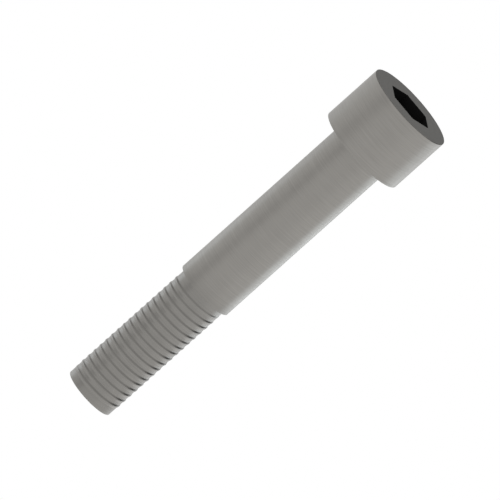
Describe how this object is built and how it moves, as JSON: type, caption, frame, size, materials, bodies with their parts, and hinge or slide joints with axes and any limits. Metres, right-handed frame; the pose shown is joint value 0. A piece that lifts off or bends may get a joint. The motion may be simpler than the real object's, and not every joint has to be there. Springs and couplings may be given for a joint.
{
  "type": "hex socket cap screw",
  "caption": "Long cap screw with a cylindrical hex socket head, a plain shank with a shoulder and a shallow thread on its lower end.",
  "frame": {"origin": "centre of the head's top face, on which the screw stands", "axes": "+Z along the screw's axis, from the head to the threaded tip; +X through a corner of the hex socket"},
  "size_m": [0.045, 0.045, 0.2],
  "materials": {
    "steel": "plain satin steel, light turning marks round the axis"
  },
  "bodies": {
    "root": {"cap_screw": "steel"}
  },
  "joints": []
}
